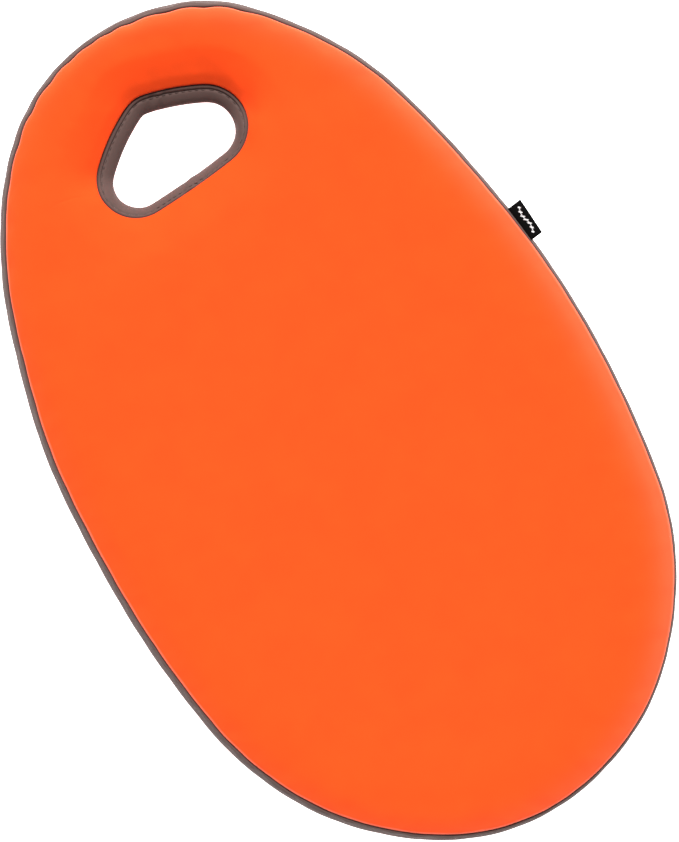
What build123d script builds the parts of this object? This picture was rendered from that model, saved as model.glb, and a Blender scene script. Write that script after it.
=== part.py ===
from build123d import *

import os
from math import acos, asin, cos, radians, degrees, sin, sqrt, tan

# A padded kneeler: an egg-shaped foam pad in a stretchy sewn cover, with a hand hole
# through its narrow end and a small folded label in its edge seam.
#
# Frame: millimetres, origin in the middle of the underside, +Y towards the narrow end,
# +X towards the label, +Z up. Upper and lower sides are mirror images about mid-height.

# ---------------------------------------------------------------- driving dimensions
LENGTH = 460.0
THICKNESS = 40.0

# Half of the plan outline, from the narrow tip round to the wide one: four arcs, each
# tangent to the one before it, and a tail arc that closes the outline on the centre line.
NOSE_RADIUS, NOSE_SWEEP = 101.0, 43.0
SHOULDER_RADIUS, SHOULDER_SWEEP = 173.0, 29.3
SIDE_RADIUS, SIDE_SWEEP = 495.0, 27.6
HIP_RADIUS = 161.0

# Hand hole at its narrowest height: three corner circles (x, y, radius), anticlockwise from
# the one nearest the tip, and the radii of the bowed sides that join each to the next.
HOLE_CORNERS = ((-3.0, 175.0, 7.5), (-23.5, 154.0, 13.0), (20.0, 159.5, 14.5))
HOLE_SIDE_RADII = (100.0, 430.0, 120.0)

EDGE_ROUND = 13.0          # radius over the pad's outer edge
HOLE_ROUND = 19.0          # radius over the edge of the hand hole

CLOTH = 2.0                # thickness of the foam-backed cover cloth
FOAM_GAP = 0.2             # from the inside of the cloth to the foam
SIDE_FOAM = 8.0            # thickness of each soft foam layer
GLUE = 0.2                 # thickness of each glue film

# Seams between panel and band. The cover has crept sideways on the foam, so its upper
# seam sits lower on the label's side, and its lower seam the other way round.
EDGE_SEAM_OFFSET = -1.5    # seam's inset less its depth, before the creep
EDGE_SEAM_CREEP = (4.4, -1.7)
HOLE_SEAM_ANGLE = 50.0     # up the round, from the hole's wall
HOLE_SEAM_CREEP = (0.3, 1.9)
EDGE_SEAM_ROOM = 17.0      # inset plus depth of the foam's cut-back outer edge
HOLE_SEAM_ROOM = 21.0      # the same at the hand hole
ROOM_GAP = 0.4             # from the turned-in cloth to the cut-back foam

THREAD_RADIUS = 0.25
THREAD_GAP = 0.05
EDGE_THREAD_GAP = 0.7      # room for the creep, which the threads follow less exactly
HOLE_THREAD_GAP = 0.5
EDGE_THREAD_FROM_SEAM = CLOTH + THREAD_RADIUS + EDGE_THREAD_GAP
HOLE_THREAD_FROM_SEAM = CLOTH + THREAD_RADIUS + HOLE_THREAD_GAP
SEAM_LINE_FROM_FOAM = 1.5  # at the edge seam: inset plus depth short of the foam's
SEAM_LINE_FROM_HOLE_SEAM = 4.6  # along the turned-in cloth
TOPSTITCH_PITCH = 3.2
TOPSTITCH_LENGTH = 2.2
TOPSTITCH_FROM_SEAM = 1.5

# Where the two ends of each band are joined: a clock angle about the nose's centre for
# the edge band, and a place across the hand hole's straightest side for the other.
EDGE_JOIN_ANGLE = 24.7
HOLE_JOIN_X = 6.5
JOIN_SLIT = 0.3
JOIN_DEPTH = 6.0           # from the cover's surface to the end of the turned-in cloth
JOIN_ROOM = 0.8            # each side of the turned-in ends, for their thread
JOIN_THREAD_DEPTH = 4.5
EDGE_JOIN_HEIGHT = 14.0
HOLE_JOIN_HEIGHT = 9.0

LABEL_Y = 37.7
LABEL_WIDTH = 20.0
LABEL_LENGTH = 7.2        # from the hinge line to the fold
LABEL_THICKNESS = 0.8      # two layers of woven tape
LABEL_LIFT = 0.7           # hinge line above the cover
LABEL_TAIL = 5.0
LABEL_GAP = 0.1            # from the cover's surface down to the sewn-in tail

# ---------------------------------------------------------------- worked-out values
MIDDLE = THICKNESS / 2
MIRROR_PLANE = Plane.XY.offset(MIDDLE)
OVERSHOOT = 1.0            # how far cutting shapes run past the pad
HOLE_SEAM_LEAN = 90.0 - HOLE_SEAM_ANGLE
HOLE_SEAM_GROW = HOLE_ROUND * (1 - cos(radians(HOLE_SEAM_ANGLE)))
HOLE_SEAM_DEPTH = HOLE_ROUND * (1 - sin(radians(HOLE_SEAM_ANGLE)))


def clock(angle):
    """Unit vector at a clock angle: 0 along +Y, 90 along +X."""
    return Vector(sin(radians(angle)), cos(radians(angle)))


NOSE_CENTRE = Vector(0, LENGTH / 2 - NOSE_RADIUS)
SHOULDER_CENTRE = NOSE_CENTRE - clock(NOSE_SWEEP) * (SHOULDER_RADIUS - NOSE_RADIUS)
SIDE_CENTRE = SHOULDER_CENTRE - clock(NOSE_SWEEP + SHOULDER_SWEEP) * (SIDE_RADIUS - SHOULDER_RADIUS)
WIDEST_X = SIDE_CENTRE.X + SIDE_RADIUS


os.makedirs("parts", exist_ok=True)


# ---------------------------------------------------------------- plan outlines
def egg(inset):
    """The pad's plan, moved in by inset: one side in arcs, and its mirror image."""
    with BuildSketch() as plan:
        with BuildLine():
            nose = JernArc((0, LENGTH / 2 - inset), (-1, 0), NOSE_RADIUS - inset, NOSE_SWEEP)
            shoulder = JernArc(nose @ 1, nose % 1, SHOULDER_RADIUS - inset, SHOULDER_SWEEP)
            side = JernArc(shoulder @ 1, shoulder % 1, SIDE_RADIUS - inset, SIDE_SWEEP)
            hip_radius = HIP_RADIUS - inset
            hip_centre = side @ 1 + (side % 1).rotate(Axis.Z, 90) * hip_radius
            rise = hip_centre.Y + LENGTH / 2 - inset
            tail_radius = (hip_centre.X**2 + rise**2 - hip_radius**2) / (2 * (rise - hip_radius))
            tail_centre = Vector(0, inset - LENGTH / 2 + tail_radius)
            touch = tail_centre + (tail_centre - hip_centre).normalized() * tail_radius
            hip = TangentArc(side @ 1, touch, tangent=side % 1)
            TangentArc(hip @ 1, (0, inset - LENGTH / 2), tangent=hip % 1)
            mirror(about=Plane.YZ)
        make_face()
    return plan.sketch


def side_centre(first, second, bow):
    """Centre of an arc of radius bow that holds both corner circles inside it."""
    (start, start_radius), (end, end_radius) = first, second
    apart = (end - start).length
    along = (end - start).normalized()
    reach = ((bow - start_radius) ** 2 - (bow - end_radius) ** 2 + apart**2) / (2 * apart)
    drop = sqrt((bow - start_radius) ** 2 - reach**2)
    return start + along * reach + along.rotate(Axis.Z, 90) * drop


def arc_about(centre, start, end):
    """Arc about centre from start to end, the short way round."""
    halfway = (start - centre + end - centre).normalized() * (start - centre).length
    return ThreePointArc(start, centre + halfway, end)


def hand_hole(grow):
    """The hand hole's plan, moved out by grow: three corners joined by bowed sides."""
    corners = [(Vector(x, y), radius + grow) for x, y, radius in HOLE_CORNERS]
    pairs = list(zip(corners, corners[1:] + corners[:1], HOLE_SIDE_RADII))
    centres = [side_centre(first, second, bow + grow) for first, second, bow in pairs]
    with BuildSketch() as plan:
        with BuildLine():
            for index, (corner, radius) in enumerate(corners):
                arrive = corner + (corner - centres[index - 1]).normalized() * radius
                leave = corner + (corner - centres[index]).normalized() * radius
                following, following_radius = corners[(index + 1) % len(corners)]
                away = (following - centres[index]).normalized()
                arc_about(corner, arrive, leave)
                arc_about(centres[index], leave, following + away * following_radius)
        make_face()
    return plan.sketch


# ---------------------------------------------------------------- whole-pad shapes
def flat_edges(part):
    """Edges round a part's flat upper and lower faces."""
    return part.faces().filter_by(Axis.Z).edges()


def hole_edges(part):
    """Edges of the hand hole on a part's flat upper and lower faces."""
    wires = [wire for face in part.faces().filter_by(Axis.Z) for wire in face.inner_wires()]
    return [edge for wire in wires for edge in wire.edges()]


def rounded_pad(inset):
    """The covered pad's shape, moved in by inset from every face."""
    with BuildPart() as pad:
        with BuildSketch(Plane.XY.offset(inset)):
            add(egg(inset))
        extrude(amount=THICKNESS - 2 * inset)
        fillet(flat_edges(pad), EDGE_ROUND - inset)
        with BuildSketch(Plane.XY.offset(inset)):
            add(hand_hole(inset))
        extrude(amount=THICKNESS - 2 * inset, mode=Mode.SUBTRACT)
        fillet(hole_edges(pad), HOLE_ROUND - inset)
    return pad.part


def cut_back_pad(inset, gap):
    """A block with its edges cut back, to leave the turned-in seams gap and more of room."""
    with BuildPart() as block:
        with BuildSketch(Plane.XY.offset(inset)):
            add(egg(inset))
        extrude(amount=THICKNESS - 2 * inset)
        chamfer(flat_edges(block), EDGE_SEAM_ROOM + gap - 2 * inset)
        with BuildSketch(Plane.XY.offset(inset)):
            add(hand_hole(inset))
        extrude(amount=THICKNESS - 2 * inset, mode=Mode.SUBTRACT)
        chamfer(hole_edges(block), HOLE_SEAM_ROOM + gap - 2 * inset)
    return block.part


def within_edge_seam(shift, side):
    """The space inside the outer seam of one side (1 upper, -1 lower), as a cone.

    The cone stands square to the rounded edge. It is moved by shift towards the panel.
    """
    creep = Vector(EDGE_SEAM_CREEP) * side
    inset = EDGE_SEAM_OFFSET + shift * sqrt(2) - OVERSHOOT
    with BuildPart() as cone:
        with BuildSketch(Plane.XY.offset(-OVERSHOOT)):
            with Locations(creep):
                add(egg(inset))
        extrude(amount=MIDDLE + OVERSHOOT, taper=45)
        if side > 0:
            mirror(about=MIRROR_PLANE, mode=Mode.REPLACE)
    return cone.part


def within_hole_seam(shift, side):
    """The space inside the hand hole's seam on one side, moved by shift to the panel."""
    creep = Vector(HOLE_SEAM_CREEP)
    slope = tan(radians(HOLE_SEAM_LEAN))
    grow = HOLE_SEAM_GROW + slope * (MIDDLE - HOLE_SEAM_DEPTH)
    with BuildPart() as cone:
        with BuildSketch(MIRROR_PLANE):
            with Locations(creep):
                add(hand_hole(grow + shift / cos(radians(HOLE_SEAM_LEAN))))
        extrude(amount=MIDDLE + OVERSHOOT, taper=HOLE_SEAM_LEAN)
        if side < 0:
            mirror(about=MIRROR_PLANE, mode=Mode.REPLACE)
    return cone.part


# ---------------------------------------------------------------- places on the cover
def edge_seam_angle(outward, side):
    """How far up the rounded edge the outer seam runs, where outward is square to it."""
    creep = side * Vector(EDGE_SEAM_CREEP).dot(outward)
    return 45 + degrees(asin((EDGE_SEAM_OFFSET - creep) / (sqrt(2) * EDGE_ROUND)))


def hole_seam_angle(outward):
    """How far up its round the hand hole's seam runs, where outward is square to it."""
    slope = tan(radians(HOLE_SEAM_LEAN))
    reach = HOLE_SEAM_GROW - slope * HOLE_SEAM_DEPTH + Vector(HOLE_SEAM_CREEP).dot(outward)
    value = cos(radians(HOLE_SEAM_LEAN)) * (1 - slope - reach / HOLE_ROUND)
    return degrees(acos(value)) - HOLE_SEAM_LEAN


def edge_join_plane():
    """At the edge band's join, half-way up: X square out of the cover, Z up."""
    outward = clock(EDGE_JOIN_ANGLE)
    corner = NOSE_CENTRE + outward * NOSE_RADIUS
    return Plane(origin=(corner.X, corner.Y, MIDDLE), x_dir=outward, z_dir=(0, 0, 1))


def hole_join_plane():
    """At the hand hole band's join, half-way up: X square out into the hole, Z up."""
    (_, *ends), bow = HOLE_CORNERS, HOLE_SIDE_RADII[1]
    first, second = ((Vector(x, y), radius) for x, y, radius in ends)
    centre = side_centre(first, second, bow)
    rise = sqrt(bow**2 - (HOLE_JOIN_X - centre.X) ** 2)
    corner = Vector(HOLE_JOIN_X, centre.Y - rise, MIDDLE)
    return Plane(origin=corner, x_dir=Vector(centre.X - corner.X, rise), z_dir=(0, 0, 1))


def label_plane():
    """At the label's hinge line: X along the label, away from the pad, Z along the seam."""
    outward = clock(degrees(acos((LABEL_Y - SIDE_CENTRE.Y) / SIDE_RADIUS)))
    angle = radians(edge_seam_angle(outward, 1))
    away = outward * cos(angle) + Vector(0, 0, sin(angle))
    round_centre = SIDE_CENTRE + outward * (SIDE_RADIUS - EDGE_ROUND)
    hinge = round_centre + Vector(0, 0, THICKNESS - EDGE_ROUND) + away * (EDGE_ROUND + LABEL_LIFT)
    along_seam = Vector(-outward.Y, outward.X)
    return Plane(origin=hinge, x_dir=away, z_dir=along_seam)


def write(part, name):
    """Label a finished piece and write it out under the same name."""
    part.label = name
    export_step(part, f"parts/{name}.step")


# ---------------------------------------------------------------- the sewn cover
def cover_panel(side):
    """The upper (side 1) or lower (-1) cloth, with its edges turned in at both seams."""
    with BuildPart() as lining:
        add(rounded_pad(CLOTH))
        add(within_edge_seam(CLOTH, side), mode=Mode.INTERSECT)
        add(within_hole_seam(CLOTH, side), mode=Mode.SUBTRACT)
    with BuildPart() as panel:
        add(rounded_pad(0))
        add(within_edge_seam(0, side), mode=Mode.INTERSECT)
        add(within_hole_seam(0, side), mode=Mode.SUBTRACT)
        add(lining.part, mode=Mode.SUBTRACT)
        add(cut_back_pad(CLOTH + OVERSHOOT, 0), mode=Mode.SUBTRACT)
    return panel.part


def join_cloth(plane, height):
    """The two turned-in ends of a band, still as one block, at the band's join."""
    depth = JOIN_DEPTH - CLOTH / 2
    with BuildPart() as cloth:
        with Locations(plane):
            with Locations((-CLOTH / 2, 0, 0)):
                Box(
                    depth,
                    2 * CLOTH + JOIN_SLIT,
                    height,
                    align=(Align.MAX, Align.CENTER, Align.CENTER),
                )
    return cloth.part


def join_slit(plane):
    """The parting between the two ends of a band."""
    with BuildPart() as slit:
        with Locations(plane):
            Box(4 * JOIN_DEPTH, JOIN_SLIT, THICKNESS + 2 * OVERSHOOT)
    return slit.part


def label_tail():
    """The label's sewn-in ends: a tab between the turned-in cloths of the edge seam."""
    hinge = label_plane()
    outward = Vector(hinge.x_dir.X, hinge.x_dir.Y).normalized()
    inward = (outward + Vector(0, 0, 1)) * -1
    start = hinge.origin - hinge.x_dir * (LABEL_LIFT + LABEL_GAP)
    with BuildPart() as tail:
        with BuildSketch(Plane(origin=start, x_dir=inward, z_dir=hinge.z_dir)):
            with Locations((LABEL_TAIL / 2, 0)):
                Rectangle(LABEL_TAIL, LABEL_THICKNESS)
        extrude(amount=LABEL_WIDTH / 2, both=True)
    return tail.part


def band(pad, lining, plane, join_height):
    """A band's ring of cloth, opened at its join, with both ends turned in there."""
    with BuildPart() as ring:
        add(pad)
        add(lining, mode=Mode.SUBTRACT)
        add(cut_back_pad(CLOTH + OVERSHOOT, 0), mode=Mode.SUBTRACT)
        add(join_cloth(plane, join_height))
        add(join_slit(plane), mode=Mode.SUBTRACT)
    return ring.part


def edge_ring(inset, shift):
    """The pad's outer edge between its two seams, moved by inset and shift."""
    with BuildPart() as ring:
        add(rounded_pad(inset))
        for side in (1, -1):
            add(within_edge_seam(shift, side), mode=Mode.SUBTRACT)
    return ring.part


def hole_ring(inset, shift):
    """The pad round its hand hole, between the hole's two seams."""
    with BuildPart() as ring:
        for side in (1, -1):
            add(within_hole_seam(shift, side))
        add(rounded_pad(inset), mode=Mode.INTERSECT)
    return ring.part


EDGE_JOIN = edge_join_plane()
HOLE_JOIN = hole_join_plane()
TAIL = label_tail()

for side, name in ((1, "top_panel"), (-1, "bottom_panel")):
    with BuildPart() as panel:
        add(cover_panel(side))
        add(TAIL, mode=Mode.SUBTRACT)
    write(panel.part, name)

with BuildPart() as edge_band:
    add(band(edge_ring(0, 0), edge_ring(CLOTH, -CLOTH), EDGE_JOIN, EDGE_JOIN_HEIGHT))
    add(TAIL, mode=Mode.SUBTRACT)
write(edge_band.part, "edge_band")

with BuildPart() as handle_band:
    add(band(hole_ring(0, 0), hole_ring(CLOTH, -CLOTH), HOLE_JOIN, HOLE_JOIN_HEIGHT))
write(handle_band.part, "handle_band")

# ---------------------------------------------------------------- the foam inside
LOWEST_FOAM = CLOTH + FOAM_GAP
LOWER_GLUE_LINE = LOWEST_FOAM + SIDE_FOAM
UPPER_GLUE_LINE = THICKNESS - LOWER_GLUE_LINE
LAYERS = {
    "lower_memory_foam": (LOWEST_FOAM, LOWER_GLUE_LINE),
    "lower_glue_film": (LOWER_GLUE_LINE, LOWER_GLUE_LINE + GLUE),
    "eva_core": (LOWER_GLUE_LINE + GLUE, UPPER_GLUE_LINE - GLUE),
    "upper_glue_film": (UPPER_GLUE_LINE - GLUE, UPPER_GLUE_LINE),
    "upper_memory_foam": (UPPER_GLUE_LINE, THICKNESS - LOWEST_FOAM),
}

with BuildPart() as foam_block:
    add(cut_back_pad(CLOTH + FOAM_GAP, ROOM_GAP))
    for plane in (EDGE_JOIN, HOLE_JOIN):
        with Locations(plane):
            Box(
                2 * (JOIN_DEPTH + ROOM_GAP),
                2 * CLOTH + JOIN_SLIT + 2 * JOIN_ROOM,
                EDGE_JOIN_HEIGHT + 2 * ROOM_GAP,
                mode=Mode.SUBTRACT,
            )

for name, (low, high) in LAYERS.items():
    with BuildPart() as layer:
        add(foam_block.part)
        split(bisect_by=Plane.XY.offset(low), keep=Keep.TOP)
        split(bisect_by=Plane.XY.offset(high), keep=Keep.BOTTOM)
    write(layer.part, name)

# ---------------------------------------------------------------- sewing thread
def thread_ring(plan, plane):
    """A closed run of thread along a plan outline, laid on a plane."""
    route = plan.wire().moved(plane.location)
    with BuildPart() as ring:
        with BuildSketch(Plane(origin=route @ 0, z_dir=route % 0)):
            Circle(THREAD_RADIUS)
        sweep(path=route)
    return ring.part


def edge_seam_threads(side):
    """Needle and bobbin thread, one against each of the edge seam's turned-in cloths.

    The creep puts them half of it to one side, and tilts them by the other half.
    """
    room = EDGE_SEAM_ROOM - SEAM_LINE_FROM_FOAM
    creep = Vector(EDGE_SEAM_CREEP) / 2
    tilt = Vector(creep.X / WIDEST_X, creep.Y * 2 / LENGTH, 1)
    with BuildPart() as threads:
        for hand in (1, -1):
            lean = EDGE_SEAM_OFFSET + hand * sqrt(2) * EDGE_THREAD_FROM_SEAM
            depth = (room - lean) / 2
            height = THICKNESS - depth if side > 0 else depth
            middle = (side * creep.X, side * creep.Y, height)
            add(thread_ring(egg((room + lean) / 2), Plane(origin=middle, x_dir=(1, 0, 0), z_dir=tilt)))
    return threads.part


def hole_seam_threads(side):
    """Needle and bobbin thread, one against each of the hole seam's turned-in cloths."""
    lean = radians(HOLE_SEAM_LEAN)
    into = SEAM_LINE_FROM_HOLE_SEAM
    with BuildPart() as threads:
        for hand in (1, -1):
            grow = HOLE_SEAM_GROW + into * sin(lean) + hand * HOLE_THREAD_FROM_SEAM * cos(lean)
            depth = HOLE_SEAM_DEPTH + into * cos(lean) - hand * HOLE_THREAD_FROM_SEAM * sin(lean)
            height = THICKNESS - depth if side > 0 else depth
            add(thread_ring(hand_hole(grow), Plane((*HOLE_SEAM_CREEP, height))))
    return threads.part


for side, name in ((1, "upper"), (-1, "lower")):
    write(edge_seam_threads(side), f"{name}_edge_seam_thread")
    write(hole_seam_threads(side), f"{name}_handle_seam_thread")


def topstitches(side):
    """Short stitches along the hand hole's band, just inside its seam."""
    route = hand_hole(HOLE_SEAM_GROW).wire()
    count = round(route.length / TOPSTITCH_PITCH)
    back = degrees(TOPSTITCH_FROM_SEAM / HOLE_ROUND)
    proud = HOLE_ROUND + THREAD_RADIUS + THREAD_GAP
    with BuildPart() as stitches:
        for index in range(count):
            along = route % (index / count)
            outward = along.rotate(Axis.Z, -90)
            angle = radians(hole_seam_angle(outward) - back)
            round_centre = route @ (index / count) + outward * (HOLE_ROUND - HOLE_SEAM_GROW)
            place = round_centre - outward * proud * cos(angle)
            height = HOLE_ROUND - proud * sin(angle)
            place.Z = THICKNESS - height if side > 0 else height
            with Locations(Plane(origin=place, z_dir=along)):
                Cylinder(THREAD_RADIUS, TOPSTITCH_LENGTH)
    return stitches.part


for side, name in ((1, "upper"), (-1, "lower")):
    write(topstitches(side), f"{name}_handle_topstitch")


def join_threads(plane, height):
    """The threads that close a band's join, one against each turned-in end."""
    across = CLOTH + JOIN_SLIT / 2 + THREAD_RADIUS + THREAD_GAP
    with BuildPart() as threads:
        with Locations(plane):
            with Locations((-JOIN_THREAD_DEPTH, across), (-JOIN_THREAD_DEPTH, -across)):
                Cylinder(THREAD_RADIUS, height)
    return threads.part


write(join_threads(EDGE_JOIN, EDGE_JOIN_HEIGHT), "edge_band_join_thread")
write(join_threads(HOLE_JOIN, HOLE_JOIN_HEIGHT), "handle_band_join_thread")

# ---------------------------------------------------------------- the woven label
write(TAIL, "label_tail")

with BuildPart() as label_flap:
    with BuildSketch(label_plane()):
        with Locations((LABEL_LENGTH / 2 - LABEL_THICKNESS / 2, 0)):
            SlotOverall(LABEL_LENGTH, LABEL_THICKNESS)
    extrude(amount=LABEL_WIDTH / 2, both=True)
write(label_flap.part, "label_flap")
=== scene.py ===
from math import atan2, cos, pi, radians, sin, sqrt, tan

import bmesh
import bpy
import numpy as np
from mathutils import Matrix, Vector
from mathutils.bvhtree import BVHTree
from mathutils.geometry import delaunay_2d_cdt


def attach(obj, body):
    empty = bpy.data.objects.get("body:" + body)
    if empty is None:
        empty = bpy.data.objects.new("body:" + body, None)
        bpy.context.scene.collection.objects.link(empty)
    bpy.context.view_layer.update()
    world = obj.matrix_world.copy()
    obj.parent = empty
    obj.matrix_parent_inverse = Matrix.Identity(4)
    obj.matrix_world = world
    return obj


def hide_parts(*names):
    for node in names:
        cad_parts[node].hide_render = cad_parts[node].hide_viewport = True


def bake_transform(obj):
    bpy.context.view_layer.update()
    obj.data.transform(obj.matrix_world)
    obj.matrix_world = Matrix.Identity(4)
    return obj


# A padded kneeler: orange stretch cloth over foam, a taupe side band, a taupe band through
# the hand hole, and a folded label in the edge seam. Lengths here are millimetres until a
# mesh is made. In the shared frame +Y is the way to the narrow end, +X to the label, +Z up.

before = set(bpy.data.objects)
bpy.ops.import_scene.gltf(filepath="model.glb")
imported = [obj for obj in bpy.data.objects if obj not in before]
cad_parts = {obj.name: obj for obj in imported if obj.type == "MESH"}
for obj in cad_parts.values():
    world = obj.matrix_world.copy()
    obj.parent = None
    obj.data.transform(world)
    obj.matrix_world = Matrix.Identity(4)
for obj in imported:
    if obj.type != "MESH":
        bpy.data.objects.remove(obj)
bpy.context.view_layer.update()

MM = 0.001

# ---- the CAD's dimensions
LENGTH = 460.0
THICKNESS = 40.0
NOSE_RADIUS, NOSE_SWEEP = 101.0, radians(43.0)
SHOULDER_RADIUS, SHOULDER_SWEEP = 173.0, radians(29.3)
SIDE_RADIUS, SIDE_SWEEP = 495.0, radians(27.6)
HIP_RADIUS = 161.0
HOLE_CORNERS = ((-3.0, 175.0, 7.5), (20.0, 159.5, 14.5), (-23.5, 154.0, 13.0))
HOLE_SIDE_RADII = (120.0, 430.0, 100.0)
EDGE_ROUND, HOLE_ROUND = 13.0, 19.0
HOLE_SEAM_ANGLE, HOLE_SEAM_CREEP = radians(50.0), np.array([0.3, 1.9])
LABEL_WIDTH, LABEL_LENGTH, LABEL_THICKNESS, LABEL_TAIL = 20.0, 6.8, 0.8, 5.0
EDGE_JOIN_CLOCK = radians(24.7)
HOLE_JOIN_PLAN = (6.5, 141.2)
THREAD_RADIUS = 0.25
HINGE = np.array([134.786, 37.6043, 33.2311])     # the label's, at its seam
HINGE_AXIS = np.array([-0.119709, 0.992809, 0.0])
LABEL_WAY = np.array([0.884177, 0.106611, 0.454824])

# ---- the mesh's layout
EDGE_STATIONS = 320          # columns round the outer edge
HOLE_STATIONS = 96           # columns round the hand hole
SLAB_STATIONS = 160
EDGE_RING, HOLE_RING = 16.0, 27.0  # where the rows end and the flat middle begins
GRID_REACH, GRID_PITCH, GRID_CLEARANCE = (150.0, 240.0), 5.0, 3.2
ROW_CROWDING = 1.35          # the panels' rows lie closer together beside a seam
PANEL_ROWS, BAND_ROWS = 6, 6
HOLE_PANEL_ROWS, HOLE_BAND_ROWS = 11, 10
BAND_STEPS = (0.0, 0.5, 1.0, 1.6, 2.4)  # rows of the band beside a seam
TUBE_SIDES, STITCH_POINTS = 6, 6

# ---- the sewn cloth
PANEL_ROLL, BAND_ROLL, PARTING = 1.4, 1.1, 0.28   # radius of the cloth's fold into a seam
PANEL_EDGE, BAND_EDGE = PANEL_ROLL + PARTING, BAND_ROLL + PARTING
TURNED_IN, TURNED_IN_ROWS = 4.0, (0.35, 1.0)       # cloth below the fold
CLOTH = 0.8
# row by row from the cloth's body into its fold: how much painted sheen, how much painted shade
RIM_PAINTED_SHEEN = (0.7, 1.0, 0.2, 0.0, 0.0, 0.0, 0.0)
FOLD_PAINTED_SHADE = (0.0, 0.0, 0.5, 1.0, 1.0, 1.0, 1.0)
# painted sheen: the panels are painted paler towards their edge, most of all on the label's side
EDGE_PAINTED_SHEEN, PAINTED_SHEEN_REACH, PAINTED_SHEEN_WAY = 0.32, 11.0, np.array([0.966, -0.259])
LABEL_TAPE = 0.35
CREASE = ((-57.0, 162.0), radians(-14.0), 10.0, -1.5, 3.0)  # middle, turn, half length, bow, depth
CREASE_WIDTH = 0.8
LABEL_SKEW = 0.06                   # how much the label is sewn in askew
KNIT_PITCH = 0.55
STITCH_PITCH, STITCH_FROM_SEAM = 3.2, 2.4
STITCH_SHARE, STITCH_DIVE = (0.18, 0.82), 0.55  # of its pitch; how deep its ends go
STITCH_DITCH, DITCH_WIDTH = 0.9, 0.45
# each crease across the hand hole's band: distance from its join, width, depth
CREASE_SLANT, CREASE_FADE = 0.35, 6.0          # they fade out at the hole's narrowest
BAND_CREASES = ((0.0, 1.6, 0.9), (4.2, 1.6, -0.5), (-4.2, 1.6, 0.8), (8.2, 1.7, 0.6), (-8.4, 1.6, 0.5),
                (96.0, 1.3, 1.0), (99.5, 1.2, -0.4), (102.5, 1.3, 0.6), (91.5, 1.4, 0.4))
HOLE_SEAM_THREADS = ((11.85, 6.2), (7.64, 9.74))  # growth of the hole and depth, from the CAD
CLOTH_FRAMES = 20
CLOTH_SETTINGS = {
    "quality": 4, "mass": 0.2, "tension_stiffness": 12, "compression_stiffness": 12,
    "shear_stiffness": 4, "bending_stiffness": 0.4, "air_damping": 2, "use_pressure": True,
    "uniform_pressure_force": 4, "vertex_group_mass": "seams",
    "shrink_min": -0.006,              # the cloth is cut a little wider than it is held
}
CLOTH_CAP = 1.6                    # the most that the cloth may leave the foam
BAND_HALF, BAND_LOOSE = 13.0, 0.25  # the bands are firmer: within this height they move less
# the middles of the panels are smoothed, fully beyond these distances from the seams
SMOOTHINGS, SMOOTH_EDGE, SMOOTH_HOLE = 20, (9.0, 16.0), (12.0, 22.0)
SLOW_RIPPLE, QUICK_RIPPLE = 0.10, 0.06
# each face of the pad is drawn in at the hand hole, the most on the tip's side
PINCH, PINCH_NEAR, PINCH_FAR, PINCH_BIAS = 9.0, 6.0, 35.0, 0.85
PINCH_WAY, PINCH_TURN, PINCH_LEAST = np.array([0.259, 0.966]), (-0.35, 0.45), 0.12
SEAM_HEIGHT = 15.5                 # of the hand hole's seams from the middle

# ---- the sewing's unevenness
BAND_SHOWN, BAND_LEAN, BAND_TWIST = 2.98, np.array([-1.0, 0.155]), 0.475  # plan width beside a panel
SCALLOP, MEAN_SWELL = 1.25, 0.64
CALM, CALM_FROM, LIVELY_TO = 0.2, 115.0, 60.0   # the scallops are strong near the narrow end only
LOWER_SHIFT = 18.0                              # the lower seam's scallops, along the edge
TUCK, TUCK_PLACE, TUCK_REACH = -0.55, 6.0, 5.0  # of a panel beside each tight stitch
TIGHT_STITCHES = (-75.0, -57.0, -39.6, -22.4, -10.1, 1.5, 14.1, 34.2, 54.2, 75.0)
LOOSE_PITCH = 23.0
FULL_BAND, FULL_REACH, FULLNESS = 38.0, 42.0, 1.1  # the band shows more where its ends join
UNEVEN_WITHIN = 4.0  # of the wall, in plan; beyond it the unevenness fades
# each swelling of the edge: where, as a share of the outline, how far out, how wide
EDGE_SWELLS = (
    (0.05, 1.5, 0.025), (0.19, -0.9, 0.04), (0.36, 0.6, 0.03), (0.47, -0.9, 0.03),
    (0.56, -0.8, 0.03), (0.80, 1.4, 0.03), (0.89, -0.9, 0.025),
)

# ---- colour and light
ORANGE = (0.93, 0.069, 0.0045)
# painted sheen: the paler orange painted over the panels' seam folds and towards their edge
ORANGE_PAINTED_SHEEN = (1.0, 0.17, 0.09)
# painted shade: the dark orange painted inside the panels' seam folds
ORANGE_PAINTED_SHADE = (0.22, 0.028, 0.014)
TAUPE = (0.104, 0.064, 0.056)
# painted shade: the dark taupe painted inside the bands' seam folds
TAUPE_PAINTED_SHADE = (0.066, 0.034, 0.028)
SEAM_THREAD = (0.12, 0.02, 0.012)
TOPSTITCH = (0.078, 0.046, 0.039)
# the grain of each texture per metre, and the depth of the finest, in metres
MOTTLE_SCALE, FUZZ_SCALE, FIBRE_SCALE, KNIT_BUMP, FINE = 60.0, 900.0, 1500.0, 0.35, 0.0001
FLOOR_HALF, FLOOR_DROP, FLOOR_GLOW = 3000.0, 0.4, 1.7
AMBIENT = 0.36
KEY = 5.2
KEY_PLAN = (0.530, 0.848)
KEY_ELEVATION = radians(50.5)
KEY_WIDTH = radians(14)
CAMERA, CAMERA_TURN, CAMERA_LENS, SENSOR = (0.0045, -0.0032, 1.525), radians(-30), 125.6, 36


# ---- outlines
def facing(clock):
    """Unit vectors at clock angles: 0 along +Y, a quarter turn along +X."""
    return np.stack([np.sin(clock), np.cos(clock)], axis=-1)


def clock_of(vector):
    """The clock angle that a vector points at, from 0 up to a full turn."""
    return atan2(vector[0], vector[1]) % (2 * pi)


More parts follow.
